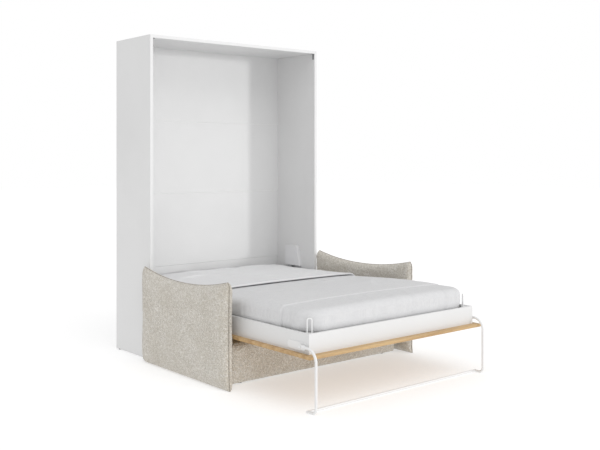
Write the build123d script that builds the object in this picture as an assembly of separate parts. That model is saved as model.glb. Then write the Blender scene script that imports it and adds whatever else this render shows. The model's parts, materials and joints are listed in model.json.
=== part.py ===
"""Wall bed: an open cabinet, a bed that folds down out of it over a sofa, and a folding foot leg.

Millimetres.  X runs across the bed with the viewer's right positive, Y runs into the wall and Z up.
The origin is at floor level, in the middle of the whole object with the bed folded down.
Most places are given as (x, out, z), where out is the distance out from the cabinet's front plane.
Right-hand pieces are drawn at positive x and mirrored for the left-hand ones.
"""
import os
from math import atan2, degrees, hypot

from build123d import *

os.makedirs("parts", exist_ok=True)

# ---- cabinet ----
CABINET_WIDTH = 1555.0
CABINET_HEIGHT = 2260.0
CABINET_DEPTH = 475.0
PANEL = 22.0
BACK_PANEL = 10.0
BACK_SEAM_GAP = 1.0
BACK_SEAMS = (575.0, 1128.0, 1680.0)
GLIDE = 6.0
PLINTH_TOP = 140.0
REAR_RAIL_TOP = 100.0
NICHE = CABINET_WIDTH / 2 - PANEL
NICHE_BACK = -(CABINET_DEPTH - BACK_PANEL)

# ---- bed frame and facade ----
BED_HALF = 720.0
BOARD = 16.0
BOARD_TOP = 432.0
FACADE_BOTTOM = 300.0
FACADE_THICKNESS = 18.0
FACADE_TOP = FACADE_BOTTOM + FACADE_THICKNESS
FACADE_HALF = 752.0
FACADE_HEAD = -445.0
FACADE_FOOT = 1620.0
FACADE_JOINTS = (240.0, 930.0)
FRAME_FOOT = 1578.0
BOARD_INNER = BED_HALF - BOARD
FOOT_BOARD_INNER = FRAME_FOOT - BOARD

# ---- pivots: the bed turns on PIVOT, the leg on LEG_PIVOT ----
PIVOT_OUT, PIVOT_Z = -150.0, 450.0
PIN_RADIUS = 8.0
RUNNING_FIT = 0.05
LEG_PIVOT_OUT, LEG_PIVOT_Z = 1520.0, 355.0
LEG_BOLT_RADIUS = 4.0

# ---- leg: a bent tube at each side and a crossbar on the floor ----
TUBE_RADIUS = 8.0
TUBE_WALL = 1.5
TUBE_X = 733.0
LEG_OUT = 1650.0
LEG_UPPER_BEND = 70.0
LEG_LOWER_BEND = 30.0
CROSSBAR_OUT = 1585.0
LUG_X = (730.0, 736.0)

# ---- gas struts: places are relative to the bed's pivot, as (out, up) ----
STRUT_X = 737.0
STRUT_FIXED = (-146.0, 198.0)
STRUT_MOVING = (-79.0, 12.0)
STRUT_EYE_RADIUS = 10.0
STRUT_EYE_X = (731.3, 743.3)
STRUT_STUD_RADIUS = 5.0
CYLINDER_RADIUS = 9.0
CYLINDER_START, CYLINDER_LENGTH = 14.0, 150.0
ROD_RADIUS = 4.0
ROD_INSIDE = 138.0
STUD_END = 725.4
PLATE_SCREW_HEAD = 749.0
BRACKET_BOLT_X = (705.0, 725.0)
PIN_HEAD_X = (716.0, 719.6)
PIN_SHOULDER = 725.4

# ---- bedding ----
MATTRESS_HALF = 700.0
MATTRESS_HEAD, MATTRESS_FOOT = -427.0, 1560.0
MATTRESS_BOTTOM, MATTRESS_TOP = 350.0, 552.0
FOOT_CORNER, HEAD_CORNER = 130.0, 60.0
MATTRESS_EDGE = 30.0
BEDDING_BOTTOM = BOARD_TOP + 2.0
BLANKET_HEAD = 516.0
BLANKET_GROWTH, BLANKET_TOP = 6.0, 566.0
DUVET_FOOT = 514.0
DUVET_GROWTH, DUVET_TOP = 8.0, 572.0

# ---- sofa ----
SOFA_HALF = 735.0
SOFA_CORNER, SOFA_TOP_EDGE = 15.0, 28.0
SOFA_BACK, SOFA_FRONT = 5.0, 888.0
SOFA_BOTTOM, SOFA_TOP = 10.0, 258.0
SOFA_FRAME_HALF = 690.0
SOFA_FRAME = (37.0, 856.0)
SOFA_FRAME_TOP = 190.0
SOFA_FOOT = 12.0
ARM_X = (778.0, 856.0)
ARM_BOTTOM = 4.0
ARM_CORNER = 14.0
ARM_BOARD_OUT, ARM_BOARD_Z = (40.0, 920.0), (50.0, 540.0)
ARM_BEVEL = 12.0
ARM_BACK, ARM_FRONT = -20.0, 970.0
ARM_TIP, ARM_SADDLE = 652.0, 596.0

FRONT_Y = (LEG_OUT + TUBE_RADIUS - CABINET_DEPTH) / 2


# ---- helpers ----
def block(x, out, z):
    """A box from its (low, high) spans."""
    middle = Pos((x[0] + x[1]) / 2, FRONT_Y - (out[0] + out[1]) / 2, (z[0] + z[1]) / 2)
    return middle * Box(x[1] - x[0], out[1] - out[0], z[1] - z[0])


def bar_x(x, out, z, radius):
    """A round bar along X."""
    return Pos((x[0] + x[1]) / 2, FRONT_Y - out, z) * Rot(0, 90, 0) * Cylinder(radius, x[1] - x[0])


def bar_out(x, out, z, radius):
    """A round bar along Y."""
    return Pos(x, FRONT_Y - (out[0] + out[1]) / 2, z) * Rot(90, 0, 0) * Cylinder(radius, out[1] - out[0])


def disc(x, out, z, radius):
    """An upright round bar between two heights."""
    return Pos(x, FRONT_Y - out, (z[0] + z[1]) / 2) * Cylinder(radius, z[1] - z[0])


def side_plane(x, out=0.0, z=0.0):
    """The plane across X whose local axes are out and up; its normal is -X."""
    return Plane(origin=(x, FRONT_Y - out, z), x_dir=(0, -1, 0), z_dir=(-1, 0, 0))


def side_plate(outline, x, out=0.0, z=0.0):
    """An outline in (out, up) about a point, made into a plate between two x positions."""
    return extrude(side_plane(x[1], out, z) * outline, amount=x[1] - x[0], dir=(-1, 0, 0))


def at_pivot(outline, x):
    """A side plate whose outline is drawn about the bed's pivot."""
    return side_plate(outline, x, PIVOT_OUT, PIVOT_Z)


def both(part):
    """The part and its mirror image, as one group of separate solids."""
    return part + part.mirror(Plane.YZ)


def save(name, part):
    export_step(part, f"parts/{name}.step")


def save_pair(name, part):
    save(f"{name}_right", part)
    save(f"{name}_left", part.mirror(Plane.YZ))


def group(parts):
    """Separate solids in one node."""
    return Part() + list(parts)


# ---- fasteners, which also cut their own holes ----
def cam_bolts_top():
    reach = (NICHE - 34.0, NICHE + 11.0)
    return both(group(bar_x(reach, out, CABINET_HEIGHT - PANEL / 2, 3.5) for out in (-40.0, -237.0, -435.0)))


def cam_housings_top():
    span = (CABINET_HEIGHT - PANEL, CABINET_HEIGHT - PANEL / 2 + 3.5)
    housings = group(disc(NICHE - 34.0, out, span, 7.5) for out in (-40.0, -237.0, -435.0))
    return both(housings) - cam_bolts_top()


def plinth_screws():
    return both(group(bar_x((NICHE - 40.0, NICHE + 14.0), -PANEL / 2, z, 3.0) for z in (40.0, 105.0)))


def wall_bracket_screws():
    span = (CABINET_HEIGHT - 14.0, CABINET_HEIGHT + 3.0)
    return both(group(disc(x, -455.0, span, 2.5) for x in (590.0, 610.0)))


HINGE_SCREWS = ((-160.0, 60.0), (-160.0, -20.0), (-160.0, -95.0), (-95.0, -95.0), (0.0, 40.0), (5.0, -85.0))
BRACKET_BOLTS = ((-130.0, -100.0), (-130.0, -45.0), (100.0, -100.0), (20.0, -60.0))


def hinge_screws():
    """Button-head screws through the hinge plate into the side panel."""
    screws = []
    for out, up in HINGE_SCREWS:
        place = (PIVOT_OUT + out, PIVOT_Z + up)
        head = bar_x((PLATE_SCREW_HEAD, NICHE - 4.0), *place, 6.0)
        shaft = bar_x((NICHE - 4.0, NICHE + 14.0), *place, 3.0)
        screws.append(head + shaft)
    return both(group(screws))


def bracket_bolts():
    """Bolts that hold the bed bracket on the side board."""
    bolts = []
    for out, up in BRACKET_BOLTS:
        place = (PIVOT_OUT + out, PIVOT_Z + up)
        bolts.append(bar_x(BRACKET_BOLT_X, *place, 4.0) + bar_x((BRACKET_BOLT_X[1], 728.0), *place, 7.0))
    return both(group(bolts))


# ---- cabinet ----
def side_panel():
    panel = block((NICHE, NICHE + PANEL), (-CABINET_DEPTH, 0), (GLIDE, CABINET_HEIGHT))
    return panel - cam_bolts_top() - plinth_screws() - hinge_screws()


def top_panel():
    panel = block((-NICHE, NICHE), (-CABINET_DEPTH, 0), (CABINET_HEIGHT - PANEL, CABINET_HEIGHT))
    return panel - cam_bolts_top() - cam_housings_top() - wall_bracket_screws()


def back_panels():
    edges = (GLIDE, *BACK_SEAMS, CABINET_HEIGHT - PANEL)
    for index in range(len(edges) - 1):
        low = edges[index] + (BACK_SEAM_GAP / 2 if index else 0)
        high = edges[index + 1] - (BACK_SEAM_GAP / 2 if index < len(BACK_SEAMS) else 0)
        yield index + 1, block((-NICHE, NICHE), (-CABINET_DEPTH, NICHE_BACK), (low, high))


def glides():
    middle = NICHE + PANEL / 2
    return both(group(disc(middle, out, (0, GLIDE), 10.0) for out in (-35.0, -440.0)))


def wall_brackets():
    """Steel angles on top of the cabinet, each with one hole for a wall screw."""
    foot = block((575.0, 625.0), (-CABINET_DEPTH, -435.0), (CABINET_HEIGHT, CABINET_HEIGHT + 3.0))
    back = (-CABINET_DEPTH, -CABINET_DEPTH + 3.0)
    upright = block((575.0, 625.0), back, (CABINET_HEIGHT, CABINET_HEIGHT + 40.0))
    hole = bar_out(600.0, (-CABINET_DEPTH - 1.0, -465.0), CABINET_HEIGHT + 23.0, 4.25)
    return both(foot + upright - hole) - wall_bracket_screws()


def corner_brackets():
    """Small angles in the top front corners of the niche."""
    under = CABINET_HEIGHT - PANEL
    upright = block((NICHE - 2.5, NICHE), (-24.0, -8.0), (under - 45.0, under))
    arm = block((NICHE - 22.0, NICHE), (-24.0, -8.0), (under - 2.5, under))
    return both(upright + arm)


# ---- hinge, on the side panel ----
PLATE_OUTLINE = (
    (-180.0, 230.0), (-46.0, 230.0), (-8.0, 83.0),
    (20.0, -25.0), (20.0, -110.0), (-180.0, -110.0),
)
COVER_FOOT = 70.0
COVER_WALL = 1.2
COVER_X = (726.0, NICHE - 4.0)


def hinge_plate():
    outline = fillet(Polygon(*PLATE_OUTLINE, align=None).vertices(), 8.0)
    plate = at_pivot(outline, (NICHE - 4.0, NICHE))
    return plate - pivot_pins() - strut_studs() - hinge_screws()


def pivot_pins():
    """Shouldered pins, fixed in the hinge plates, that the bed turns on."""
    head = bar_x(PIN_HEAD_X, PIVOT_OUT, PIVOT_Z, 13.0)
    shaft = bar_x((PIN_HEAD_X[1], PIN_SHOULDER), PIVOT_OUT, PIVOT_Z, PIN_RADIUS)
    shoulder = bar_x((PIN_SHOULDER, NICHE - 4.0), PIVOT_OUT, PIVOT_Z, 12.0)
    rivet = bar_x((NICHE - 4.0, NICHE), PIVOT_OUT, PIVOT_Z, PIN_RADIUS)
    return both(head + shaft + shoulder + rivet)


def strut_studs():
    out, z = PIVOT_OUT + STRUT_FIXED[0], PIVOT_Z + STRUT_FIXED[1]
    head = bar_x((729.0, 730.8), out, z, 8.0)
    shaft = bar_x((730.8, NICHE), out, z, STRUT_STUD_RADIUS)
    collar = bar_x((743.8, NICHE - 4.0), out, z, 8.0)
    return both(head + shaft + collar)


def strut_cover():
    """A sheet cover over the strut's upper end, open below and towards the hinge plate."""
    foot_out = -8.0 + (83.0 - COVER_FOOT) * 38.0 / 147.0
    outline = Polygon((-180, COVER_FOOT), (-180, 230), (-46, 230), (foot_out, COVER_FOOT), align=None)
    outline = fillet(outline.vertices().group_by(Axis.Y)[-1], 10.0)
    inside = offset(outline, amount=-COVER_WALL)
    opening = Pos((foot_out - 180.0) / 2, COVER_FOOT) * Rectangle(foot_out + 180.0 - 2.2 * COVER_WALL, 8.0)
    shell = at_pivot(outline, COVER_X)
    return shell - at_pivot(inside + opening, (COVER_X[0] + COVER_WALL, COVER_X[1]))


# ---- gas struts, each drawn upright at its own stud and then turned to its line ----
def strut_line():
    """The strut's length and its turn from straight down, with the bed folded down."""
    run = STRUT_MOVING[0] - STRUT_FIXED[0]
    drop = STRUT_FIXED[1] - STRUT_MOVING[1]
    return hypot(run, drop), degrees(atan2(run, drop))


def strut_place():
    """Moves a strut drawn along -Z from its stud to its own place."""
    turn = strut_line()[1]
    return Pos(STRUT_X, FRONT_Y - PIVOT_OUT - STRUT_FIXED[0], PIVOT_Z + STRUT_FIXED[1]) * Rot(-turn, 0, 0)


def eye(drop):
    """The flat round end of a strut."""
    width = STRUT_EYE_X[1] - STRUT_EYE_X[0]
    middle = (STRUT_EYE_X[0] + STRUT_EYE_X[1]) / 2 - STRUT_X
    return Pos(middle, 0, -drop) * Rot(0, 90, 0) * Cylinder(STRUT_EYE_RADIUS, width)


def strut_cylinder():
    barrel = Pos(0, 0, -CYLINDER_START - CYLINDER_LENGTH / 2) * Cylinder(CYLINDER_RADIUS, CYLINDER_LENGTH)
    neck = Pos(0, 0, -CYLINDER_START / 2 - 4.0) * Box(10.0, 12.0, CYLINDER_START - 4.0)
    depth = ROD_INSIDE + 4.0
    end = CYLINDER_START + CYLINDER_LENGTH
    bore = Pos(0, 0, -end + depth / 2) * Cylinder(ROD_RADIUS + RUNNING_FIT, depth)
    stud_hole = Rot(0, 90, 0) * Cylinder(STRUT_STUD_RADIUS + RUNNING_FIT, 40.0)
    return strut_place() * (eye(0.0) + neck + barrel - stud_hole - bore)


def strut_rod():
    """The rod and its end.  Its short stud stops just clear of the bed bracket."""
    length = strut_line()[0]
    top = CYLINDER_START + CYLINDER_LENGTH - ROD_INSIDE
    bottom = length - STRUT_EYE_RADIUS + 2.0
    rod = Pos(0, 0, -(top + bottom) / 2) * Cylinder(ROD_RADIUS, bottom - top)
    reach = STRUT_EYE_X[0] - STUD_END
    middle = STUD_END + reach / 2 - STRUT_X
    stud = Pos(middle, 0, -length) * Rot(0, 90, 0) * Cylinder(STRUT_STUD_RADIUS, reach)
    return strut_place() * (rod + eye(length) + stud)


# ---- bed frame ----
def bed_bracket():
    """The steel plate that carries the bed frame on the pivot pin."""
    corners = ((-150, -125), (120, -125), (120, -50), (28, 22), (-8, 30), (-90, 30), (-150, -40))
    plate = at_pivot(fillet(Polygon(*corners, align=None).vertices(), 10.0), (BED_HALF, BED_HALF + 5.0))
    hole = bar_x((BED_HALF - 1, BED_HALF + 6), PIVOT_OUT, PIVOT_Z, PIN_RADIUS + RUNNING_FIT)
    return plate - hole - bracket_bolts()


def side_board():
    board = block((BOARD_INNER, BED_HALF), (FACADE_HEAD, FOOT_BOARD_INNER), (FACADE_TOP, BOARD_TOP))
    return board - bracket_bolts() - leg_bolts()


def facade_parts():
    """Head, middle and foot panels of the facade, edge to edge along the bed."""
    edges = (FACADE_HEAD, *FACADE_JOINTS, FACADE_FOOT)
    for index, name in enumerate(("facade_head", "facade_middle", "facade_foot")):
        low = edges[index] + (0.5 if index else 0)
        high = edges[index + 1] - (0.5 if index < 2 else 0)
        yield name, block((-FACADE_HALF, FACADE_HALF), (low, high), (FACADE_BOTTOM, FACADE_TOP))


def slat_rails():
    return both(block((BOARD_INNER - 20.0, BOARD_INNER), (-429.0, 1490.0), (FACADE_TOP, 338.0)))


def slats():
    """Fourteen slats across the bed, evenly spaced."""
    first, pitch = -380.0, 140.0
    span = (338.0, MATTRESS_BOTTOM)
    return group(
        block((-702.0, 702.0), (first + index * pitch, first + index * pitch + 70.0), span)
        for index in range(14)
    )


# ---- bedding ----
def bedding_block(growth, out, z, edge):
    """A block with the mattress's rounded plan, grown outwards, and rounded top edges."""
    half = MATTRESS_HALF + growth
    body = block((-half, half), out, z)
    along_z = body.edges().filter_by(Axis.Z).group_by(Axis.Y)
    if out[1] >= MATTRESS_FOOT:
        body = fillet(along_z[0], FOOT_CORNER + growth)
        along_z = body.edges().filter_by(Axis.Z).group_by(Axis.Y)
    if out[0] <= MATTRESS_HEAD:
        body = fillet(along_z[-1], HEAD_CORNER + growth)
    top = body.edges().group_by(Axis.Z)[-1]
    across = [e for e in top if abs(e.center().Y - FRONT_Y + out[0]) < 1 and out[0] > MATTRESS_HEAD]
    across += [e for e in top if abs(e.center().Y - FRONT_Y + out[1]) < 1 and out[1] < MATTRESS_FOOT]
    return fillet([e for e in top if e not in across], edge)


def mattress():
    span = (MATTRESS_BOTTOM, MATTRESS_TOP)
    return bedding_block(0.0, (MATTRESS_HEAD, MATTRESS_FOOT), span, MATTRESS_EDGE)


def blanket():
    outside = (BLANKET_HEAD, MATTRESS_FOOT + BLANKET_GROWTH)
    return bedding_block(BLANKET_GROWTH, outside, (BEDDING_BOTTOM, BLANKET_TOP), MATTRESS_EDGE) - mattress()


def duvet():
    outside = (MATTRESS_HEAD, DUVET_FOOT)
    return bedding_block(DUVET_GROWTH, outside, (BEDDING_BOTTOM, DUVET_TOP), MATTRESS_EDGE) - mattress()


# ---- retaining loops at the foot corners ----
LOOP_FEET = ((685.5, 1523.5), (666.5, 1542.5))
LOOP_RADIUS = 4.0


def loop_wires():
    """Inverted U of wire, set across each foot corner of the mattress."""
    (x0, out0), (x1, out1) = LOOP_FEET
    start = Vector(x0, FRONT_Y - out0, 380.0)
    finish = Vector(x1, FRONT_Y - out1, 380.0)
    rise = Vector(0, 0, 128.0)
    path = FilletPolyline(start, start + rise, finish + rise, finish, radius=12.0)
    section = Plane(origin=start, z_dir=(0, 0, 1)) * Circle(LOOP_RADIUS)
    return both(sweep(section, path=path))


def loop_blocks():
    """Corner blocks between the side boards and the foot board, drilled for the loops."""
    leg = 70.0
    corner = Polygon((0, 0), (-leg, 0), (0, leg), align=None)
    plane = Plane(origin=(BOARD_INNER, FRONT_Y - FOOT_BOARD_INNER, 374.0))
    solid = extrude(plane * corner, amount=54.0, dir=(0, 0, 1))
    drills = group(disc(x, out, (379.9, 430.0), LOOP_RADIUS) for x, out in LOOP_FEET)
    return both(solid - drills)


# ---- leg ----
def leg_brackets():
    slot = Pos(LEG_PIVOT_OUT - 40.0, LEG_PIVOT_Z) * SlotOverall(160.0, 46.0)
    return both(side_plate(slot, (BED_HALF, BED_HALF + 4.0))) - leg_bolts()


def leg_bolts():
    """Shouldered bolts with their nuts, fixed in the frame, that the leg turns on."""
    nut = bar_x((697.0, BOARD_INNER), LEG_PIVOT_OUT, LEG_PIVOT_Z, 7.0)
    collar = bar_x((BED_HALF + 4.0, LUG_X[0] - 0.3), LEG_PIVOT_OUT, LEG_PIVOT_Z, 7.0)
    shaft = bar_x((BOARD_INNER, LUG_X[1] + 0.3), LEG_PIVOT_OUT, LEG_PIVOT_Z, LEG_BOLT_RADIUS)
    head = bar_x((LUG_X[1] + 0.3, 741.0), LEG_PIVOT_OUT, LEG_PIVOT_Z, 8.0)
    return both(nut + collar + shaft + head)


def leg_path():
    """The centre line of a leg tube, from its lug to the crossbar."""
    corners = ((LEG_PIVOT_OUT + 22.0, LEG_PIVOT_Z), (LEG_OUT, LEG_PIVOT_Z), (LEG_OUT, TUBE_RADIUS),
               (CROSSBAR_OUT, TUBE_RADIUS))
    points = [Vector(TUBE_X, FRONT_Y - out, z) for out, z in corners]
    return FilletPolyline(*points, radius=[LEG_UPPER_BEND, LEG_LOWER_BEND])


def leg_tube():
    """One bent tube with a flat lug welded in its upper end."""
    path = leg_path()
    section = Plane(origin=path @ 0, z_dir=path % 0) * (Circle(TUBE_RADIUS) - Circle(TUBE_RADIUS - TUBE_WALL))
    tube = sweep(section, path=path)
    tube -= bar_x((TUBE_X - 20, TUBE_X + 20), CROSSBAR_OUT, TUBE_RADIUS, TUBE_RADIUS)
    lug_outline = Pos(LEG_PIVOT_OUT + 15.0, LEG_PIVOT_Z) * SlotOverall(58.0, 28.0)
    lug_outline &= Pos(LEG_PIVOT_OUT + 10.0, LEG_PIVOT_Z) * Rectangle(60.0, 28.0)
    lug = side_plate(lug_outline, LUG_X)
    lug -= bar_x((720.0, 745.0), LEG_PIVOT_OUT, LEG_PIVOT_Z, LEG_BOLT_RADIUS + RUNNING_FIT)
    return tube + lug


def crossbar():
    half = TUBE_X + TUBE_RADIUS - 2.0
    outer = bar_x((-half, half), CROSSBAR_OUT, TUBE_RADIUS, TUBE_RADIUS)
    return outer - bar_x((-half, half), CROSSBAR_OUT, TUBE_RADIUS, TUBE_RADIUS - TUBE_WALL)


def crossbar_caps():
    end = TUBE_X + TUBE_RADIUS
    cap = bar_x((end - 2.0, end), CROSSBAR_OUT, TUBE_RADIUS, TUBE_RADIUS)
    return both(cap + bar_x((end - 16.0, end - 2.0), CROSSBAR_OUT, TUBE_RADIUS, TUBE_RADIUS - TUBE_WALL))


# ---- sofa ----
RAIL = 18.0
SPACER_PLACES = ((220.0, 110.0), (690.0, 110.0))
SPACER_RADIUS = 15.0
ARM_BOARD_X = (808.0, 826.0)


def sofa_long_rails():
    inner = SOFA_FRAME_HALF
    height = (SOFA_FOOT, SOFA_FRAME_TOP - RAIL)
    starts = (SOFA_FRAME[0], SOFA_FRAME[1] - RAIL)
    rails = [block((-inner, inner), (out, out + RAIL), height) for out in starts]
    return group(rails)


def sofa_cross_rails():
    reach = (SOFA_FRAME[0] + RAIL, SOFA_FRAME[1] - RAIL)
    height = (SOFA_FOOT, SOFA_FRAME_TOP - RAIL)
    ends = both(block((SOFA_FRAME_HALF - RAIL, SOFA_FRAME_HALF), reach, height))
    return ends + block((-RAIL / 2, RAIL / 2), reach, height) - arm_bolts()


def sofa_deck():
    height = (SOFA_FRAME_TOP - RAIL, SOFA_FRAME_TOP)
    return block((-SOFA_FRAME_HALF, SOFA_FRAME_HALF), SOFA_FRAME, height)


def sofa_base():
    """The padded, fabric-covered block, hollow below for its frame."""
    body = block((-SOFA_HALF, SOFA_HALF), (SOFA_BACK, SOFA_FRONT), (SOFA_BOTTOM, SOFA_TOP))
    body = fillet(body.edges().filter_by(Axis.Z), SOFA_CORNER)
    body = fillet(body.edges().group_by(Axis.Z)[-1], SOFA_TOP_EDGE)
    hollow = block((-SOFA_FRAME_HALF, SOFA_FRAME_HALF), SOFA_FRAME, (SOFA_BOTTOM, SOFA_FRAME_TOP))
    return body - hollow - arm_spacers(None)


def sofa_feet():
    places = [(x, out) for x in (640.0,) for out in (60.0, 830.0)]
    return both(group(disc(x, out, (0, SOFA_FOOT), 20.0) for x, out in places))


def arm_outline(inset):
    """The arm seen from the side: a sagging top edge between two corner tips."""
    back, front = ARM_BACK + inset, ARM_FRONT - inset
    bottom = ARM_BOTTOM + inset
    middle = (back + front) / 2
    top = ThreePointArc((back, ARM_TIP - inset), (middle, ARM_SADDLE - inset), (front, ARM_TIP - inset))
    sides = Polyline((front, ARM_TIP - inset), (front, bottom), (back, bottom), (back, ARM_TIP - inset))
    face = make_face(top + sides)
    return fillet(face.vertices().group_by(Axis.Y)[0], ARM_CORNER)


def arm_cushion():
    """A pillow-like arm, thinner towards its seams, around its board."""
    body = side_plate(arm_outline(0.0), ARM_X)
    body = chamfer(body.faces().sort_by(Axis.X)[-1].edges(), ARM_BEVEL)
    body = chamfer(body.faces().sort_by(Axis.X)[0].edges(), ARM_BEVEL)
    return body - arm_board_blank() - arm_spacers(None)


def arm_board_blank():
    return block(ARM_BOARD_X, ARM_BOARD_OUT, ARM_BOARD_Z)


def arm_board():
    return arm_board_blank() - arm_bolts()


def arm_spacers(bore):
    """Steel tubes that hold the arms off the base."""
    reach = (SOFA_FRAME_HALF, ARM_BOARD_X[0])
    tubes = group(bar_x(reach, out, z, SPACER_RADIUS) for out, z in SPACER_PLACES)
    if bore:
        tubes -= group(bar_x(reach, out, z, bore) for out, z in SPACER_PLACES)
    return both(tubes)


def arm_bolts():
    head = (SOFA_FRAME_HALF - RAIL - 6.0, SOFA_FRAME_HALF - RAIL)
    shaft = (SOFA_FRAME_HALF - RAIL, ARM_BOARD_X[1] - 3.0)
    return both(group(bar_x(head, out, z, 9.0) + bar_x(shaft, out, z, 5.0) for out, z in SPACER_PLACES))


# ---- write one file for each node ----
save_pair("side_panel", side_panel())
save("top_panel", top_panel())
save("front_plinth", block((-NICHE, NICHE), (-PANEL, 0), (GLIDE, PLINTH_TOP)) - plinth_screws())
save("rear_rail", block((-NICHE, NICHE), (NICHE_BACK, NICHE_BACK + PANEL), (GLIDE, REAR_RAIL_TOP)))
for number, panel in back_panels():
    save(f"back_panel_{number}", panel)
save("cabinet_glides", glides())
save("cam_bolts", cam_bolts_top())
save("cam_housings", cam_housings_top())
save("plinth_screws", plinth_screws())
save("wall_brackets", wall_brackets())
save("wall_bracket_screws", wall_bracket_screws())
save("top_corner_brackets", corner_brackets())
save("hinge_plates", both(hinge_plate()))
save("hinge_plate_screws", hinge_screws())
save("pivot_pins", pivot_pins())
save("strut_studs", strut_studs())
save("strut_covers", both(strut_cover()))
save_pair("strut_cylinder", strut_cylinder())
save_pair("strut_rod", strut_rod())
save_pair("bed_bracket", bed_bracket())
save("bed_bracket_bolts", bracket_bolts())
save_pair("side_board", side_board())
save("foot_board", block((-BED_HALF, BED_HALF), (FOOT_BOARD_INNER, FRAME_FOOT), (FACADE_TOP, BOARD_TOP)))
save("head_board", block((-BOARD_INNER, BOARD_INNER), (FACADE_HEAD, -429.0), (FACADE_TOP, 400.0)))
for name, panel in facade_parts():
    save(name, panel)
save("slat_rails", slat_rails())
save("centre_beam", block((-15.0, 15.0), (-429.0, FOOT_BOARD_INNER), (FACADE_TOP, 338.0)))
save("slats", slats())
save("mattress", mattress())
save("blanket", blanket())
save("duvet", duvet())
save("retaining_loops", loop_wires())
save("loop_blocks", loop_blocks())
save("leg_brackets", leg_brackets())
save("leg_bolts", leg_bolts())
save_pair("leg_tube", leg_tube())
save("leg_crossbar", crossbar())
save("crossbar_caps", crossbar_caps())
save("sofa_long_rails", sofa_long_rails())
save("sofa_cross_rails", sofa_cross_rails())
save("sofa_deck", sofa_deck())
save("sofa_base", sofa_base())
save("sofa_feet", sofa_feet())
save_pair("arm_board", arm_board())
save_pair("arm_cushion", arm_cushion())
save("arm_spacers", arm_spacers(5.0))
save("arm_bolts", arm_bolts())
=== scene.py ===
"""Wall bed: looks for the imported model.  Metres, in the row's frame: +X right, +Y into the wall, +Z up."""
import json
import math
import random

import bmesh
import bpy
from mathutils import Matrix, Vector, noise


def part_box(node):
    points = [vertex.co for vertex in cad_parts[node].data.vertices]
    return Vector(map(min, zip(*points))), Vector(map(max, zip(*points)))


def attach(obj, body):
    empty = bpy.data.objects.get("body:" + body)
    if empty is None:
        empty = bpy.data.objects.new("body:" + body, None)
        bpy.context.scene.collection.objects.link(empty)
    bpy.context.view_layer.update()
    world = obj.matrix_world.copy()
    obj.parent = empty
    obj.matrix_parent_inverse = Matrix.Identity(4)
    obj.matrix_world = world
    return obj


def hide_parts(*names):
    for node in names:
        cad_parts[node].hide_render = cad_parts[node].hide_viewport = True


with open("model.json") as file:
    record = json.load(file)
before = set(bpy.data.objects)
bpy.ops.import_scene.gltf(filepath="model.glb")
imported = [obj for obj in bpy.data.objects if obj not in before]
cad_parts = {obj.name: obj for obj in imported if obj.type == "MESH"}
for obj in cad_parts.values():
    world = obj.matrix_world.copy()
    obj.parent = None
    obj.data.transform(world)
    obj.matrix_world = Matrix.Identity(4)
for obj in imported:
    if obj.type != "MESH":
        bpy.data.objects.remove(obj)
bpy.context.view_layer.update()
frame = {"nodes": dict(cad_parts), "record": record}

FRONT_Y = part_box("front_plinth")[0][1]
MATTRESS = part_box("mattress")
ARM_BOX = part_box("arm_cushion_right")
random.seed(7)


# ---- camera, stage and light ----
def add_camera():
    """The view from the front left, at standing eye height, with upright verticals."""
    data = bpy.data.cameras.new("camera")
    data.sensor_width = 36.0
    data.lens = 51.19
    data.shift_x = 0.0689
    data.shift_y = -0.1146
    camera = bpy.data.objects.new("camera", data)
    camera.location = (-3.868, FRONT_Y - 5.087, 1.4146)
    camera.rotation_euler = (math.radians(90.0), 0.0, math.radians(-38.52))
    bpy.context.scene.collection.objects.link(camera)
    bpy.context.scene.camera = camera


def add_stage():
    mesh = bpy.data.meshes.new("floor")
    half = 30.0
    corners = [(-half, -half, 0), (half, -half, 0), (half, half, 0), (-half, half, 0)]
    mesh.from_pydata(corners, [], [(0, 1, 2, 3)])
    floor = bpy.data.objects.new("floor", mesh)
    bpy.context.scene.collection.objects.link(floor)
    floor.data.materials.append(floor_material())


def floor_material():
    material, _, _, shader = new_material("floor_white")
    shader.inputs["Base Color"].default_value = (0.65, 0.65, 0.65, 1)
    shader.inputs["Roughness"].default_value = 0.9
    shader.inputs["Specular IOR Level"].default_value = 0.1
    shader.inputs["Emission Color"].default_value = (1.0, 1.0, 1.0, 1)
    shader.inputs["Emission Strength"].default_value = 0.45
    return material


def add_lights():
    world = bpy.data.worlds.new("studio")
    world.use_nodes = True
    background = world.node_tree.nodes["Background"]
    background.inputs["Color"].default_value = (1.0, 1.0, 1.0, 1)
    background.inputs["Strength"].default_value = 0.66
    add_white_backdrop(world.node_tree, background)
    bpy.context.scene.world = world
    add_sun("key", 0.5, 6.0, (0.545, -0.839, 0.07))
    add_sun("fill", 1.0, 60.0, (-0.12, -0.55, 0.83))
    bpy.context.scene.view_settings.view_transform = "Standard"


def add_sun(name, strength, softness, towards):
    """A distant light, its softness in degrees, in the direction given from the object."""
    data = bpy.data.lights.new(name, "SUN")
    data.energy = strength
    data.angle = math.radians(softness)
    light = bpy.data.objects.new(name, data)
    light.rotation_euler = Vector(towards).to_track_quat("Z", "Y").to_euler()
    bpy.context.scene.collection.objects.link(light)


def add_white_backdrop(tree, background):
    """What the camera sees behind everything is plain white."""
    seen = tree.nodes.new("ShaderNodeBackground")
    seen.inputs["Color"].default_value = (1.0, 1.0, 1.0, 1)
    seen.inputs["Strength"].default_value = 1.0
    path = tree.nodes.new("ShaderNodeLightPath")
    mix = tree.nodes.new("ShaderNodeMixShader")
    tree.links.new(path.outputs["Is Camera Ray"], mix.inputs[0])
    tree.links.new(background.outputs["Background"], mix.inputs[1])
    tree.links.new(seen.outputs["Background"], mix.inputs[2])
    tree.links.new(mix.outputs["Shader"], tree.nodes["World Output"].inputs["Surface"])


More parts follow.
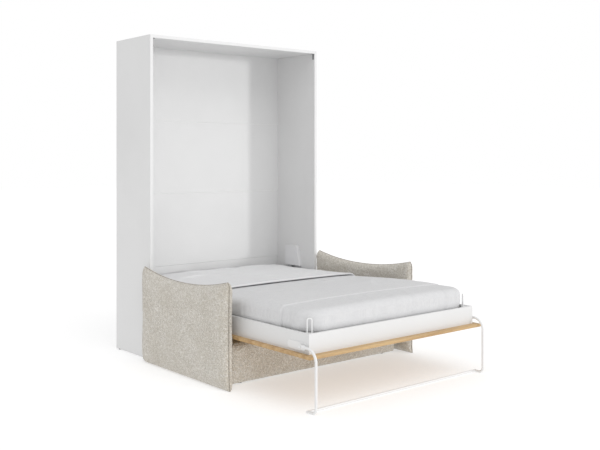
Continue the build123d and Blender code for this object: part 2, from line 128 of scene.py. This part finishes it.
# ---- materials ----
def new_material(name):
    material = bpy.data.materials.new(name)
    material.use_nodes = True
    nodes, links = material.node_tree.nodes, material.node_tree.links
    return material, nodes, links, nodes["Principled BSDF"]


def object_coordinates(nodes, links, scale):
    """Object coordinates, scaled by (x, y, z)."""
    coordinates = nodes.new("ShaderNodeTexCoord")
    mapping = nodes.new("ShaderNodeMapping")
    mapping.inputs["Scale"].default_value = scale
    links.new(coordinates.outputs["Object"], mapping.inputs["Vector"])
    return mapping.outputs["Vector"]


def noise_node(nodes, links, vector, scale, detail=3.0, roughness=0.5, distortion=0.0):
    node = nodes.new("ShaderNodeTexNoise")
    node.inputs["Scale"].default_value = scale
    node.inputs["Detail"].default_value = detail
    node.inputs["Roughness"].default_value = roughness
    node.inputs["Distortion"].default_value = distortion
    links.new(vector, node.inputs["Vector"])
    return node.outputs["Fac"]


def ramp(nodes, links, factor, stops):
    node = nodes.new("ShaderNodeValToRGB")
    elements = node.color_ramp.elements
    while len(elements) < len(stops):
        elements.new(0.5)
    for element, (position, colour) in zip(elements, stops):
        element.position = position
        element.color = (*colour, 1)
    links.new(factor, node.inputs["Fac"])
    return node.outputs["Color"]


def bump(nodes, links, height, strength, distance, normal=None):
    node = nodes.new("ShaderNodeBump")
    node.inputs["Strength"].default_value = strength
    node.inputs["Distance"].default_value = distance
    links.new(height, node.inputs["Height"])
    if normal is not None:
        links.new(normal, node.inputs["Normal"])
    return node.outputs["Normal"]


def painted(name, colour, roughness, spread=0.015, grain=900.0, depth=0.00008):
    """Smooth board, paint or plastic: faint tone changes, uneven gloss and a fine peel."""
    material, nodes, links, shader = new_material(name)
    vector = object_coordinates(nodes, links, (1, 1, 1))
    tone = noise_node(nodes, links, vector, 2.2, 4.0)
    dark = tuple(max(0.0, c - spread) for c in colour)
    light = tuple(min(1.0, c + spread) for c in colour)
    links.new(ramp(nodes, links, tone, [(0.3, dark), (0.7, light)]), shader.inputs["Base Color"])
    gloss = nodes.new("ShaderNodeMapRange")
    gloss.inputs["To Min"].default_value = roughness - 0.05
    gloss.inputs["To Max"].default_value = roughness + 0.05
    links.new(noise_node(nodes, links, vector, 14.0, 5.0), gloss.inputs["Value"])
    links.new(gloss.outputs["Result"], shader.inputs["Roughness"])
    peel = noise_node(nodes, links, vector, grain, 2.0)
    links.new(bump(nodes, links, peel, 0.25, depth), shader.inputs["Normal"])
    return material


def metal(name, colour, roughness, scratch=(4.0, 220.0, 220.0)):
    material, nodes, links, shader = new_material(name)
    shader.inputs["Metallic"].default_value = 1.0
    vector = object_coordinates(nodes, links, scratch)
    lines = noise_node(nodes, links, vector, 3.0, 4.0)
    dark = tuple(c * 0.85 for c in colour)
    links.new(ramp(nodes, links, lines, [(0.3, dark), (0.7, colour)]), shader.inputs["Base Color"])
    gloss = nodes.new("ShaderNodeMapRange")
    gloss.inputs["To Min"].default_value = roughness - 0.06
    gloss.inputs["To Max"].default_value = roughness + 0.08
    links.new(lines, gloss.inputs["Value"])
    links.new(gloss.outputs["Result"], shader.inputs["Roughness"])
    links.new(bump(nodes, links, lines, 0.15, 0.0002), shader.inputs["Normal"])
    return material


def add_knots(nodes, links, colour):
    """Darkens a few small oval spots."""
    cells = nodes.new("ShaderNodeTexVoronoi")
    cells.inputs["Scale"].default_value = 1.6
    links.new(object_coordinates(nodes, links, (1.0, 2.4, 4.0)), cells.inputs["Vector"])
    knot = ramp(nodes, links, cells.outputs["Distance"], [(0.05, (0.3, 0.18, 0.1)), (0.13, (1, 1, 1))])
    mix = nodes.new("ShaderNodeMix")
    mix.data_type = "RGBA"
    mix.blend_type = "MULTIPLY"
    mix.inputs["Factor"].default_value = 0.8
    links.new(colour, mix.inputs["A"])
    links.new(knot, mix.inputs["B"])
    return mix.outputs["Result"]


def wood(name, light, dark, along, ring_scale, knots=False):
    """Wood whose grain runs along one axis ("x" or "y"), with rings, pores and a few knots."""
    material, nodes, links, shader = new_material(name)
    stretch = {"x": (0.35, 6.0, 6.0), "y": (6.0, 0.35, 6.0), "z": (6.0, 6.0, 0.35)}[along]
    vector = object_coordinates(nodes, links, stretch)
    rings = noise_node(nodes, links, vector, ring_scale, 4.0, 0.55, 0.6)
    fine_stretch = tuple(s * 9.0 for s in stretch)
    fine = noise_node(nodes, links, object_coordinates(nodes, links, fine_stretch), 6.0, 3.0)
    middle = tuple((a + b) / 2 for a, b in zip(light, dark))
    colour = ramp(nodes, links, rings, [(0.34, dark), (0.47, middle), (0.6, light)])
    pores = ramp(nodes, links, fine, [(0.35, (0.72, 0.66, 0.58)), (0.52, (1, 1, 1))])
    mix = nodes.new("ShaderNodeMix")
    mix.data_type = "RGBA"
    mix.blend_type = "MULTIPLY"
    mix.inputs["Factor"].default_value = 0.55
    links.new(colour, mix.inputs["A"])
    links.new(pores, mix.inputs["B"])
    output = mix.outputs["Result"]
    if knots:
        output = add_knots(nodes, links, output)
    links.new(output, shader.inputs["Base Color"])
    gloss = nodes.new("ShaderNodeMapRange")
    gloss.inputs["To Min"].default_value = 0.42
    gloss.inputs["To Max"].default_value = 0.6
    links.new(fine, gloss.inputs["Value"])
    links.new(gloss.outputs["Result"], shader.inputs["Roughness"])
    links.new(bump(nodes, links, fine, 0.3, 0.0003), shader.inputs["Normal"])
    return material


def boucle(name, light, shade):
    """Looped wool: small curls over larger tufts, soft sheen."""
    material, nodes, links, shader = new_material(name)
    vector = object_coordinates(nodes, links, (1, 1, 1))
    tufts = noise_node(nodes, links, vector, 65.0, 3.0, 0.6, 0.4)
    curls = nodes.new("ShaderNodeTexVoronoi")
    curls.feature = "SMOOTH_F1"
    curls.inputs["Scale"].default_value = 150.0
    curls.inputs["Randomness"].default_value = 1.0
    links.new(vector, curls.inputs["Vector"])
    add = nodes.new("ShaderNodeMath")
    add.operation = "MULTIPLY_ADD"
    add.inputs[1].default_value = -0.9
    links.new(curls.outputs["Distance"], add.inputs[0])
    links.new(tufts, add.inputs[2])
    tone = ramp(nodes, links, add.outputs["Value"], [(0.0, shade), (0.42, light)])
    drift = noise_node(nodes, links, vector, 6.0, 3.0)
    patches = ramp(nodes, links, drift, [(0.35, (0.93, 0.92, 0.9)), (0.65, (1, 1, 1))])
    mix = nodes.new("ShaderNodeMix")
    mix.data_type = "RGBA"
    mix.blend_type = "MULTIPLY"
    mix.inputs["Factor"].default_value = 1.0
    links.new(tone, mix.inputs["A"])
    links.new(patches, mix.inputs["B"])
    links.new(mix.outputs["Result"], shader.inputs["Base Color"])
    shader.inputs["Roughness"].default_value = 0.95
    shader.inputs["Specular IOR Level"].default_value = 0.15
    shader.inputs["Sheen Weight"].default_value = 0.25
    shader.inputs["Sheen Roughness"].default_value = 0.6
    links.new(bump(nodes, links, add.outputs["Value"], 1.0, 0.009), shader.inputs["Normal"])
    return material


def woven(name, light, shade, thread=1400.0, relief=0.0006, sheen=0.12):
    """Plain-woven cotton: two sets of threads, slubs and a slow change of tone."""
    material, nodes, links, shader = new_material(name)
    vector = object_coordinates(nodes, links, (1, 1, 1))
    threads = []
    for axis in ("X", "Y"):
        wave = nodes.new("ShaderNodeTexWave")
        wave.bands_direction = axis
        wave.inputs["Scale"].default_value = thread / 6.28
        wave.inputs["Distortion"].default_value = 1.5
        wave.inputs["Detail"].default_value = 2.0
        links.new(vector, wave.inputs["Vector"])
        threads.append(wave.outputs["Fac"])
    weave = nodes.new("ShaderNodeMath")
    weave.operation = "ADD"
    links.new(threads[0], weave.inputs[0])
    links.new(threads[1], weave.inputs[1])
    slubs = noise_node(nodes, links, vector, 60.0, 5.0, 0.6)
    total = nodes.new("ShaderNodeMath")
    total.operation = "MULTIPLY_ADD"
    total.inputs[1].default_value = 0.25
    links.new(weave.outputs["Value"], total.inputs[0])
    links.new(slubs, total.inputs[2])
    tone = ramp(nodes, links, total.outputs["Value"], [(0.3, shade), (1.0, light)])
    links.new(tone, shader.inputs["Base Color"])
    shader.inputs["Roughness"].default_value = 0.88
    shader.inputs["Specular IOR Level"].default_value = 0.2
    shader.inputs["Sheen Weight"].default_value = sheen
    links.new(bump(nodes, links, total.outputs["Value"], 0.5, relief), shader.inputs["Normal"])
    return material


# ---- mesh helpers ----
def new_piece(name, vertices, faces, material, smooth=True):
    mesh = bpy.data.meshes.new(name)
    mesh.from_pydata(vertices, [], faces)
    mesh.validate()
    if smooth:
        mesh.shade_smooth()
    piece = bpy.data.objects.new(name, mesh)
    bpy.context.scene.collection.objects.link(piece)
    piece.data.materials.append(material)
    return piece


def grid_faces(rows, columns, start=0, flip=False):
    """Quads between the points of a grid stored row by row."""
    faces = []
    for row in range(rows - 1):
        for column in range(columns - 1):
            corner = start + row * columns + column
            quad = (corner, corner + 1, corner + columns + 1, corner + columns)
            faces.append(quad[::-1] if flip else quad)
    return faces


def ring_faces(rings, count):
    """Quads between closed rings of points stored one after the other."""
    faces = []
    for ring in range(rings - 1):
        for step in range(count):
            a = ring * count + step
            b = ring * count + (step + 1) % count
            faces.append((a, b, b + count, a + count))
    return faces


def weld(piece, distance=0.0004):
    mesh = bmesh.new()
    mesh.from_mesh(piece.data)
    bmesh.ops.remove_doubles(mesh, verts=mesh.verts, dist=distance)
    bmesh.ops.recalc_face_normals(mesh, faces=mesh.faces)
    mesh.to_mesh(piece.data)
    mesh.free()


def smooth_step(value):
    value = max(0.0, min(1.0, value))
    return value * value * (3 - 2 * value)


def ripple(x, y, scale, seed):
    """Smooth noise between -1 and 1."""
    return noise.noise(Vector((x * scale, y * scale, seed)))


def tube(name, points, radius, material, closed=False, sides=10):
    """A round cord of cloth or wire through the points."""
    count = len(points)
    vertices, faces = [], []
    for index, point in enumerate(points):
        before = points[index - 1] if index or closed else point
        after = points[(index + 1) % count] if index < count - 1 or closed else point
        direction = (Vector(after) - Vector(before)).normalized()
        side = direction.cross(Vector((0.31, 0.17, 0.94))).normalized()
        up = side.cross(direction)
        for step in range(sides):
            angle = math.tau * step / sides
            offset = side * math.cos(angle) * radius + up * math.sin(angle) * radius
            vertices.append(Vector(point) + offset)
    last = count if closed else count - 1
    for index in range(last):
        for step in range(sides):
            a = index * sides + step
            b = index * sides + (step + 1) % sides
            c = ((index + 1) % count) * sides + (step + 1) % sides
            d = ((index + 1) % count) * sides + step
            faces.append((a, b, c, d))
    if not closed:
        faces.append(tuple(range(sides))[::-1])
        faces.append(tuple((count - 1) * sides + step for step in range(sides)))
    return new_piece(name, vertices, faces, material)


# ---- sofa arms ----
ARM_SEAM_X = 0.816
ARM_INNER, ARM_OUTER = 0.036, 0.041
ARM_ROWS, ARM_COLUMNS = 111, 151


def arm_outline(u, v):
    """The arm's side view: u runs back to front and v bottom to top, both 0 to 1."""
    low, high = ARM_BOX
    back, front = high[1], low[1]
    bottom, top = low[2], high[2]
    sag = 0.056 * (1 - abs(2 * u - 1) ** 2.1) * smooth_step((v - 0.35) / 0.65)
    waist = 0.012 * math.sin(math.pi * v)
    corner = 0.014 * max(0.0, 1 - (1 - v) / 0.05) ** 2 - 0.006 * max(0.0, 1 - v / 0.1) ** 2
    start = back - waist - corner
    finish = front + 0.6 * waist + corner
    round_off = 0.022 * max(0.0, 1 - u / 0.05) ** 2
    base = bottom + round_off
    return start + (finish - start) * u, base + (top - base) * v - sag


def crown(distance, width, power):
    """Half-thickness share at a distance in from a seam."""
    share = min(1.0, max(0.0, distance / width))
    return (1 - (1 - share) ** power) ** (1 / power)


def arm_point(u, v, outside):
    y, z = arm_outline(u, v)
    low, high = ARM_BOX
    along, up = high[1] - low[1], high[2] - low[2]
    edge_y, edge_z = min(u, 1 - u) * along, min(v, 1 - v) * up
    if outside:
        share = crown(edge_y, 0.12, 2.3) * crown(edge_z, 0.12, 2.2)
    else:
        share = crown(edge_y, 0.04, 2.8) * crown(edge_z, 0.06, 2.3)
    half = (ARM_OUTER if outside else ARM_INNER) * share
    near = math.exp(-min(edge_y, edge_z) / 0.045)
    pucker = 0.0028 * near * ripple(y if edge_z < edge_y else z, 0.0, 34.0, 3.0)
    slack = 0.0035 * share * ripple(y, z, 5.5, 9.0 if outside else 4.0)
    lumps = 0.0016 * ripple(y, z, 42.0, 1.0)
    offset = 0.0035 + half + (pucker + slack + lumps) * min(1.0, 4 * share)
    return ARM_SEAM_X + (offset if outside else -offset), y, z


def arm_cushion(side, material, welt_painted_shade_material):
    """A pillow-like arm: two crowned panels sewn to a thin flange."""
    name = "right" if side > 0 else "left"
    vertices, faces = [], []
    for outside in (True, False):
        start = len(vertices)
        for row in range(ARM_ROWS):
            for column in range(ARM_COLUMNS):
                u = 0.5 - 0.5 * math.cos(math.pi * column / (ARM_COLUMNS - 1))
                v = 0.5 - 0.5 * math.cos(math.pi * row / (ARM_ROWS - 1))
                x, y, z = arm_point(u, v, outside)
                vertices.append((side * x, y, z))
        faces += grid_faces(ARM_ROWS, ARM_COLUMNS, start, flip=(side > 0) == outside)
    faces += rim_faces(ARM_ROWS, ARM_COLUMNS)
    piece = new_piece(f"arm_cushion_cloth_{name}", vertices, faces, material)
    weld(piece)
    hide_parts(f"arm_cushion_{name}")
    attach(piece, "cabinet")
    # The welt round the arm's edge is drawn in the darker cloth: painted shade for the shadow line along the
    # seam.
    welt = tube(f"arm_welt_{name}", arm_seam(side), 0.0036, welt_painted_shade_material, closed=True)
    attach(welt, "cabinet")
    return piece


def rim_faces(rows, columns):
    """Joins the edges of two equal grids stored one after the other."""
    loop = [column for column in range(columns)]
    loop += [row * columns + columns - 1 for row in range(1, rows)]
    loop += [(rows - 1) * columns + column for column in range(columns - 2, -1, -1)]
    loop += [row * columns for row in range(rows - 2, 0, -1)]
    other = rows * columns
    pairs = zip(loop, loop[1:] + loop[:1])
    return [(a, b, b + other, a + other) for a, b in pairs]


def arm_seam(side):
    """Points along the arm's edge seam."""
    steps = 70
    edge = [(i / steps, 0.0) for i in range(steps)] + [(1.0, i / steps) for i in range(steps)]
    edge += [(1 - i / steps, 1.0) for i in range(steps)] + [(0.0, 1 - i / steps) for i in range(steps)]
    return [(side * ARM_SEAM_X, *arm_outline(u, v)) for u, v in edge]


# ---- sofa base ----
BASE_CORNER, BASE_TOP_EDGE = 0.018, 0.04
BASE_TOP_RINGS = 14


def base_profile(height):
    """The base's side, from its foot to its rounded top edge: (inset, rise) pairs."""
    steps = 10
    profile = [(0.010, 0.0), (0.002, 0.006), (0.0, 0.02)]
    profile += [(0.0, 0.05 + 0.013 * i) for i in range(12)]
    for i in range(steps + 1):
        angle = math.pi / 2 * i / steps
        inset = BASE_TOP_EDGE * (1 - math.cos(angle))
        profile.append((inset, height - BASE_TOP_EDGE * (1 - math.sin(angle))))
    return profile


def base_side_points(outline, profile, low, high):
    """Points up the padded sides, which swell a little at mid-height."""
    points = []
    for inset, rise in profile:
        z = low[2] + rise
        for point, normal in outline:
            swell = 0.004 * math.sin(math.pi * (z - low[2]) / (high[2] - low[2]))
            wave = 0.0025 * ripple(point.x + point.y, z, 7.0, 2.0)
            wave += 0.0012 * ripple(point.x, z + point.y, 40.0, 5.0)
            place = point - normal * (inset + 0.006 - swell - wave)
            points.append((place.x, place.y, z))
    return points


def base_top_points(rim, centre):
    """Rings from the top edge in to the middle, rising to a low crown."""
    points = []
    for level in range(1, BASE_TOP_RINGS + 1):
        share = level / BASE_TOP_RINGS
        for corner in rim:
            edge = Vector(corner)
            x = edge.x + (centre.x - edge.x) * share
            y = edge.y + (centre.y - edge.y) * share
            rise = 0.006 * smooth_step(share * 2) + 0.002 * ripple(x, y, 6.0, 8.0)
            points.append((x, y, edge.z + min(rise, 0.008)))
    return points


def sofa_base(material):
    """The padded block under the bed: soft edges and a slightly crowned top and front."""
    low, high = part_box("sofa_base")
    outline = rounded_rectangle(low[0], high[0], low[1], high[1], BASE_CORNER, 90, 60, 8)
    centre = Vector(((low[0] + high[0]) / 2, (low[1] + high[1]) / 2))
    count = len(outline)
    profile = base_profile(high[2] - low[2])
    vertices = base_side_points(outline, profile, low, high)
    vertices += base_top_points(vertices[-count:], centre)
    faces = ring_faces(len(profile) + BASE_TOP_RINGS, count)
    faces.append(tuple(range(count))[::-1])
    piece = new_piece("sofa_base_cloth", vertices, faces, material)
    weld(piece)
    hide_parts("sofa_base")
    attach(piece, "cabinet")


def rounded_rectangle(x0, x1, y0, y1, radius, across, along, turn):
    """Points and outward normals round a rectangle with rounded corners."""
    result = []
    corners = [(x1 - radius, y0 + radius, -90), (x1 - radius, y1 - radius, 0),
               (x0 + radius, y1 - radius, 90), (x0 + radius, y0 + radius, 180)]
    counts = (along, across, along, across)
    for index, (x, y, angle) in enumerate(corners):
        for step in range(turn + 1):
            a = math.radians(angle + 90.0 * step / turn)
            normal = Vector((math.cos(a), math.sin(a)))
            result.append((Vector((x, y)) + normal * radius, normal))
        start = result[-1][0]
        nx, ny, _ = corners[(index + 1) % 4]
        a = math.radians(angle + 90.0)
        normal = Vector((math.cos(a), math.sin(a)))
        finish = Vector((nx, ny)) + normal * radius
        for step in range(1, counts[index]):
            result.append((start.lerp(finish, step / counts[index]), normal))
    return result


# ---- mattress and bedding ----
MATTRESS_TOP = 0.488
MATTRESS_INSET = 0.022


def mattress_piece(material):
    """The mattress below the bedding: rounded panels with a sewn border."""
    low, high = MATTRESS
    outline = rounded_rectangle(low[0], high[0], low[1], high[1], 0.06, 60, 90, 8)
    foot = low[1]
    vertices = []
    height = MATTRESS_TOP - low[2]
    profile = []
    for i in range(9):
        angle = math.pi / 2 * i / 8
        profile.append((0.028 * (1 - math.sin(angle)), 0.028 * (1 - math.cos(angle))))
    profile += [(0.003 * math.sin(math.pi * i / 8), 0.028 + (height - 0.056) * i / 8) for i in range(1, 8)]
    for i in range(9):
        angle = math.pi / 2 * i / 8
        profile.append((0.028 * (1 - math.cos(angle)), height - 0.028 * (1 - math.sin(angle))))
    for inset, rise in profile:
        for point, normal in outline:
            deep = foot_corner_pull(point, foot)
            place = point - normal * (inset + MATTRESS_INSET) + deep
            vertices.append((place.x, place.y, low[2] + rise))
    count = len(outline)
    faces = ring_faces(len(profile), count)
    faces.append(tuple(range(count))[::-1])
    faces.append(tuple((len(profile) - 1) * count + step for step in range(count)))
    piece = new_piece("mattress_body", vertices, faces, material)
    weld(piece)
    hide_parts("mattress")
    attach(piece, "bed")


def foot_corner_pull(point, foot):
    """Draws the mattress's foot corners in to a larger radius, clear of the loops."""
    half = MATTRESS[1][0]
    reach = 0.13
    dx, dy = half - abs(point.x), point.y - foot
    if dx >= reach or dy >= reach:
        return Vector((0.0, 0.0))
    cx, cy = half - reach, foot + reach
    offset = Vector((abs(point.x) - cx, point.y - cy))
    if offset.length <= reach:
        return Vector((0.0, 0.0))
    pulled = offset.normalized() * reach
    return Vector(((pulled.x - offset.x) * math.copysign(1, point.x), pulled.y - offset.y))


# ---- bedding: laid on a rounded block by wrapping a flat sheet over its edges ----
BED_HALF = 0.704
BED_FOOT = FRONT_Y - 1.563
CORNER = 0.132
EDGE = 0.052
SHEET_TOP = 0.564
SHEET_BOTTOM = 0.426
DROP = SHEET_TOP - SHEET_BOTTOM + EDGE * (math.pi / 2 - 1)


def surface_height(x, y):
    """The bedding's top, lower towards the pillow end and towards both sides."""
    out = FRONT_Y - y
    crown_drop = 0.010 * (abs(x) / BED_HALF) ** 3
    return 0.505 + 0.057 * smooth_step((out + 0.05) / 1.3) - crown_drop


def plan_distance(x, y, half, foot):
    """Signed distance outside the bed's plan, the nearest edge point and its normal; open at the head."""
    radius = CORNER - EDGE
    px, py = abs(x) - (half - radius), (foot + radius) - y
    sign = math.copysign(1.0, x)
    if px > 0 and py > 0:
        length = math.hypot(px, py)
        distance = length - radius
        normal = Vector((sign * px / length, -py / length, 0.0))
    elif px > py:
        distance, normal = px - radius, Vector((sign, 0.0, 0.0))
    else:
        distance, normal = py - radius, Vector((0.0, -1.0, 0.0))
    return distance, Vector((x, y, 0.0)) - normal * distance, normal


def wrap(x, y, half, foot):
    """A point of the flat sheet on the bed, with its surface normal and how far down it hangs, 0 to 1."""
    distance, edge_point, outward = plan_distance(x, y, half - EDGE, foot + EDGE)
    top = surface_height(x if distance <= 0 else edge_point.x, y)
    if distance <= 0:
        return Vector((x, y, top)), Vector((0, 0, 1)), 0.0
    distance = min(distance, DROP)
    angle = min(distance / EDGE, math.pi / 2)
    fall = EDGE * (1 - math.cos(angle)) + max(0.0, distance - EDGE * math.pi / 2)
    scale = (top - SHEET_BOTTOM) / (SHEET_TOP - SHEET_BOTTOM)
    place = edge_point + outward * (EDGE * math.sin(angle))
    tuck = 0.008 * smooth_step((fall - 0.09) / 0.05)
    place -= outward * tuck
    place.z = top - fall * scale
    normal = outward * math.sin(angle) + Vector((0, 0, 1)) * math.cos(angle)
    return place, normal, distance / DROP


def crease(x, y, x0, y0, angle, length, width):
    """A soft straight fold that fades towards its ends, 0 to 1."""
    dx, dy = x - x0, y - y0
    along = dx * math.cos(angle) + dy * math.sin(angle)
    off = -dx * math.sin(angle) + dy * math.cos(angle) + 0.02 * math.sin(along * 7.0 + x0 * 9.0)
    return math.exp(-(off / width) ** 2) * math.exp(-(along / length) ** 4)


def random_creases(seed, count, x_span, y_span, angles, lengths, widths):
    """Fold lines spread over part of the bed: (x, y, angle, length, width, height)."""
    source = random.Random(seed)
    return [
        (source.uniform(*x_span), source.uniform(*y_span), source.uniform(*angles), source.uniform(*lengths),
         source.uniform(*widths), source.choice((-1, 1)) * source.uniform(0.5, 1.0))
        for _ in range(count)
    ]


SEAM_OUT = 1.315
FOOT_EDGE = FRONT_Y - 1.563


def blanket_relief(x, y, hang, creases):
    """How far the blanket stands off its smooth shape."""
    out = FRONT_Y - y
    relief = 0.0022 * ripple(x, y, 3.2, 11.0) + 0.0011 * ripple(x, y, 9.0, 5.0)
    for x0, y0, angle, length, width, height in creases:
        relief += 0.0040 * height * crease(x, y, x0, y0, angle, length, width)
    seam = SEAM_OUT + 0.012 * math.sin(x * 2.1) + 0.01 * abs(x)
    relief += 0.005 * (1 - smooth_step((out - seam) / 0.009 + 0.5))
    relief -= 0.006 * math.exp(-((out - seam - 0.007) / 0.006) ** 2)
    if hang > 0.05:
        fade = smooth_step((hang - 0.05) / 0.35) * (1 - 0.6 * smooth_step((hang - 0.8) / 0.2))
        line = x if y < FOOT_EDGE + 0.12 and abs(x) < 0.62 else y
        folds = ripple(line, hang * 0.02, 17.0, 2.0) + 0.6 * ripple(line, hang * 0.03, 36.0, 6.0)
        at_foot = y < FOOT_EDGE + 0.12 and abs(x) < 0.62
        relief += 0.0070 * fade * folds * (smooth_step((x + 0.15) / 0.4) if at_foot else 0.6)
    return relief


def sheet_piece(name, points, columns, rows, hangs, material):
    """A mesh over the grid, without the faces that lie wholly below the hem."""
    faces = []
    for row in range(rows - 1):
        for column in range(columns - 1):
            a = row * columns + column
            quad = (a, a + 1, a + columns + 1, a + columns)
            if min(hangs[i] for i in quad) < 0.999:
                faces.append(quad)
    piece = new_piece(name, points, faces, material)
    weld(piece, 0.0008)
    return piece


def sheet_lines(start, head, step):
    """Where the blanket's rows lie: closer together at its seam."""
    lines = [start]
    while lines[-1] < head:
        near_seam = abs(FRONT_Y - lines[-1] - SEAM_OUT) < 0.035
        lines.append(min(head, lines[-1] + (0.003 if near_seam else step)))
    return lines


def blanket(material):
    half, head = BED_HALF, FRONT_Y - 0.42
    step = 0.0095
    reach = half - EDGE + DROP + 0.004
    columns = int(2 * reach / step) + 1
    start = BED_FOOT + EDGE - DROP - 0.004
    lines = sheet_lines(start, head, step)
    rows = len(lines)
    creases = random_creases(3, 9, (-0.5, 0.55), (FRONT_Y - 1.25, FRONT_Y - 0.6), (-0.5, 0.9), (0.12, 0.3),
                             (0.014, 0.03))
    creases += random_creases(8, 7, (-0.3, 0.6), (FRONT_Y - 1.52, FRONT_Y - 1.4), (1.2, 1.9), (0.06, 0.12),
                              (0.01, 0.018))
    points, hangs = [], []
    for y in lines:
        for column in range(columns):
            x = -reach + 2 * reach * column / (columns - 1)
            place, normal, hang = wrap(x, y, half, BED_FOOT)
            off = blanket_relief(place.x, place.y, hang, creases)
            points.append(place + normal * (off - 0.004))
            hangs.append(hang)
    piece = sheet_piece("blanket_cloth", points, columns, rows, hangs, material)
    thick = piece.modifiers.new("thickness", "SOLIDIFY")
    thick.thickness = 0.0025
    thick.offset = -1.0
    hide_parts("blanket")
    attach(piece, "bed")
    return piece


FOLD_OUT = 0.515
FOLD_RADIUS = 0.007
FOLD_GAP = 0.009


def duvet_offset(travel):
    """Height over the blanket and place along the bed of a point, for its travel from the head end."""
    flat = FOLD_OUT - FOLD_RADIUS
    if travel <= flat:
        return travel, FOLD_GAP + 2 * FOLD_RADIUS
    angle = min((travel - flat) / FOLD_RADIUS, math.pi)
    back = max(0.0, travel - flat - FOLD_RADIUS * math.pi)
    return flat + FOLD_RADIUS * math.sin(angle) - back, FOLD_GAP + FOLD_RADIUS * (1 + math.cos(angle))


def duvet_travels(head_out):
    """Distances along the duvet from its head end, through the fold and back under it."""
    travels = [head_out + (FOLD_OUT - FOLD_RADIUS - head_out) * i / 98 for i in range(99)]
    travels += [FOLD_OUT - FOLD_RADIUS + FOLD_RADIUS * math.pi * i / 8 for i in range(1, 9)]
    return travels + [travels[-1] + 0.012 * i for i in range(1, 4)]


def duvet_relief(x, y, hang, creases):
    """How far the duvet stands off its smooth shape."""
    relief = 0.0035 * ripple(x, y, 3.4, 31.0) + 0.0015 * ripple(x, y, 11.0, 7.0)
    for x0, y0, angle, length, width, height in creases:
        relief += 0.0045 * height * crease(x, y, x0, y0, angle, length, width)
    return relief + 0.003 * smooth_step(hang * 3) * ripple(y, hang * 0.02, 16.0, 2.5)


def duvet(material):
    """The white cover over the head end, folded under along its edge."""
    half = BED_HALF - 0.013
    head_out = -0.424
    step = 0.0095
    reach = half - EDGE + DROP + 0.004
    columns = int(2 * reach / step) + 1
    travels = duvet_travels(head_out)
    creases = random_creases(21, 12, (-0.6, 0.6), (FRONT_Y - 0.45, FRONT_Y + 0.4), (-0.7, 0.7), (0.1, 0.32),
                             (0.02, 0.045))
    points, hangs = [], []
    for travel in travels:
        out, lift = duvet_offset(travel)
        y = FRONT_Y - out
        head_fall = 0.05 * smooth_step((-0.36 - out) / 0.07) ** 2
        for column in range(columns):
            x = -reach + 2 * reach * column / (columns - 1)
            wavy = 0.006 * ripple(x, 0.0, 2.5, 3.0)
            place, normal, hang = wrap(x, y + wavy, half, BED_FOOT)
            share = lift / (2 * FOLD_RADIUS)
            relief = duvet_relief(x, y, hang, creases)
            spot = place + normal * (lift + relief * share * (1 - smooth_step((out - 0.44) / 0.07) * 0.6))
            spot.z -= head_fall
            points.append(spot)
            hangs.append(hang)
    piece = sheet_piece("duvet_cloth", points, columns, len(travels), hangs, material)
    thick = piece.modifiers.new("thickness", "SOLIDIFY")
    thick.thickness = 0.002
    thick.offset = -1.0
    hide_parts("duvet")
    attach(piece, "bed")
    return piece


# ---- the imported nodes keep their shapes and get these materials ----
def dress_nodes(materials):
    slots = {row["node"]: row["material_slot"] for row in frame["record"]["subparts"]}
    for node, piece in frame["nodes"].items():
        for material_slot in piece.material_slots:
            material_slot.material = materials[slots[node]]


def all_materials():
    return {
        "cabinet_white": painted("cabinet_white_look", (0.75, 0.75, 0.75), 0.42),
        "facade_oak": wood("oak_look", (0.60, 0.41, 0.20), (0.42, 0.25, 0.11), "x", 3.2, knots=True),
        "bed_white": painted("powder_white_look", (0.82, 0.82, 0.82), 0.35, 0.01, 1500.0, 0.00005),
        "birch": wood("birch_look", (0.78, 0.64, 0.45), (0.66, 0.50, 0.32), "x", 2.2),
        "pine": wood("pine_look", (0.74, 0.58, 0.38), (0.60, 0.42, 0.24), "y", 2.6),
        "steel": metal("zinc_look", (0.62, 0.63, 0.64), 0.34),
        "dark_steel": painted("dark_grey_look", (0.20, 0.205, 0.21), 0.45, 0.01),
        "cover_grey": painted("cover_grey_look", (0.76, 0.76, 0.77), 0.4, 0.01),
        "chrome": metal("chrome_look", (0.80, 0.80, 0.82), 0.12, (3.0, 60.0, 60.0)),
        "black_plastic": painted("black_plastic_look", (0.03, 0.03, 0.03), 0.5, 0.005),
        "mattress_cloth": woven("ticking_look", (0.82, 0.82, 0.81), (0.74, 0.74, 0.73), 900.0),
        "blanket_grey": woven("blanket_look", (0.70, 0.70, 0.705), (0.62, 0.62, 0.63), 1200.0, 0.0006, 0.2),
        "duvet_white": woven("duvet_look", (0.76, 0.76, 0.765), (0.70, 0.70, 0.71), 1500.0, 0.0004),
        "sofa_cloth": boucle("boucle_look", (0.87, 0.84, 0.79), (0.62, 0.58, 0.51)),
    }


def build():
    add_camera()
    add_stage()
    add_lights()
    materials = all_materials()
    dress_nodes(materials)
    # A darker copy of the sofa bouclé for the arm welts: painted shade standing in for the shadow along the
    # edge seams.
    seam_painted_shade_cloth = boucle("seam_painted_shade_look", (0.52, 0.48, 0.42), (0.38, 0.34, 0.29))
    for side in (-1, 1):
        arm_cushion(side, materials["sofa_cloth"], seam_painted_shade_cloth)
    sofa_base(materials["sofa_cloth"])
    mattress_piece(materials["mattress_cloth"])
    blanket(materials["blanket_grey"])
    duvet(materials["duvet_white"])


build()
